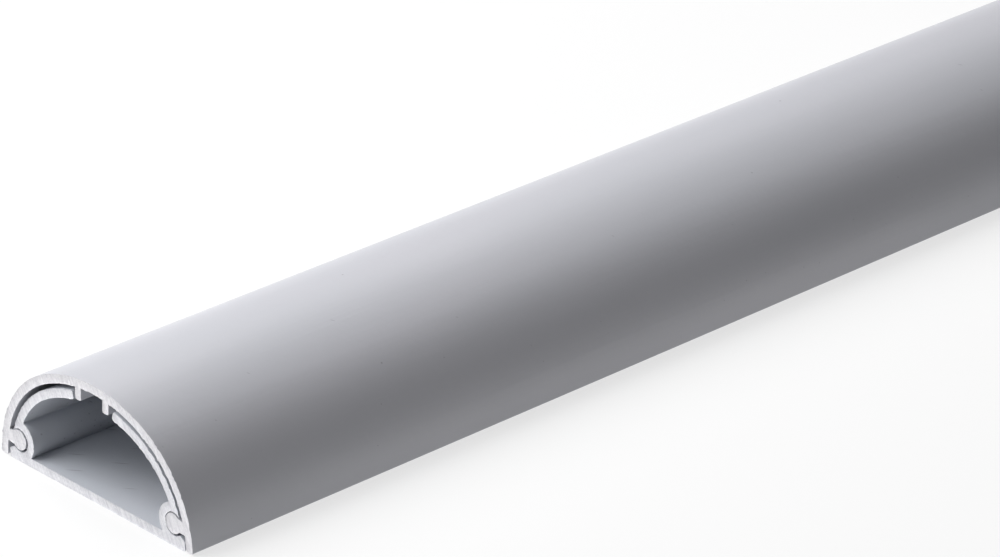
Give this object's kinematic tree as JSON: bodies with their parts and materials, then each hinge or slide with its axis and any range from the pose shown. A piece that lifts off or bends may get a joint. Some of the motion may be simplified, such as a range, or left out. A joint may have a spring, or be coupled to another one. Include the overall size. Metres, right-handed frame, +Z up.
{
  "type": "cable trunking",
  "caption": "Half-round wall trunking for cables: a flat base with curved inner wings and an arched cover that clips over it.",
  "frame": {"origin": "middle of the underside, half way along the length", "axes": "+X across the width, +Y along the length, +Z up from the underside towards the crown of the cover"},
  "size_m": [0.05, 1, 0.022],
  "materials": {
    "cover_pvc": "satin extruded rigid PVC, light grey, with sawn ends",
    "base_pvc": "satin extruded rigid PVC, light grey, with sawn ends"
  },
  "bodies": {
    "root": {"base": "base_pvc", "cover": "cover_pvc"}
  },
  "joints": []
}
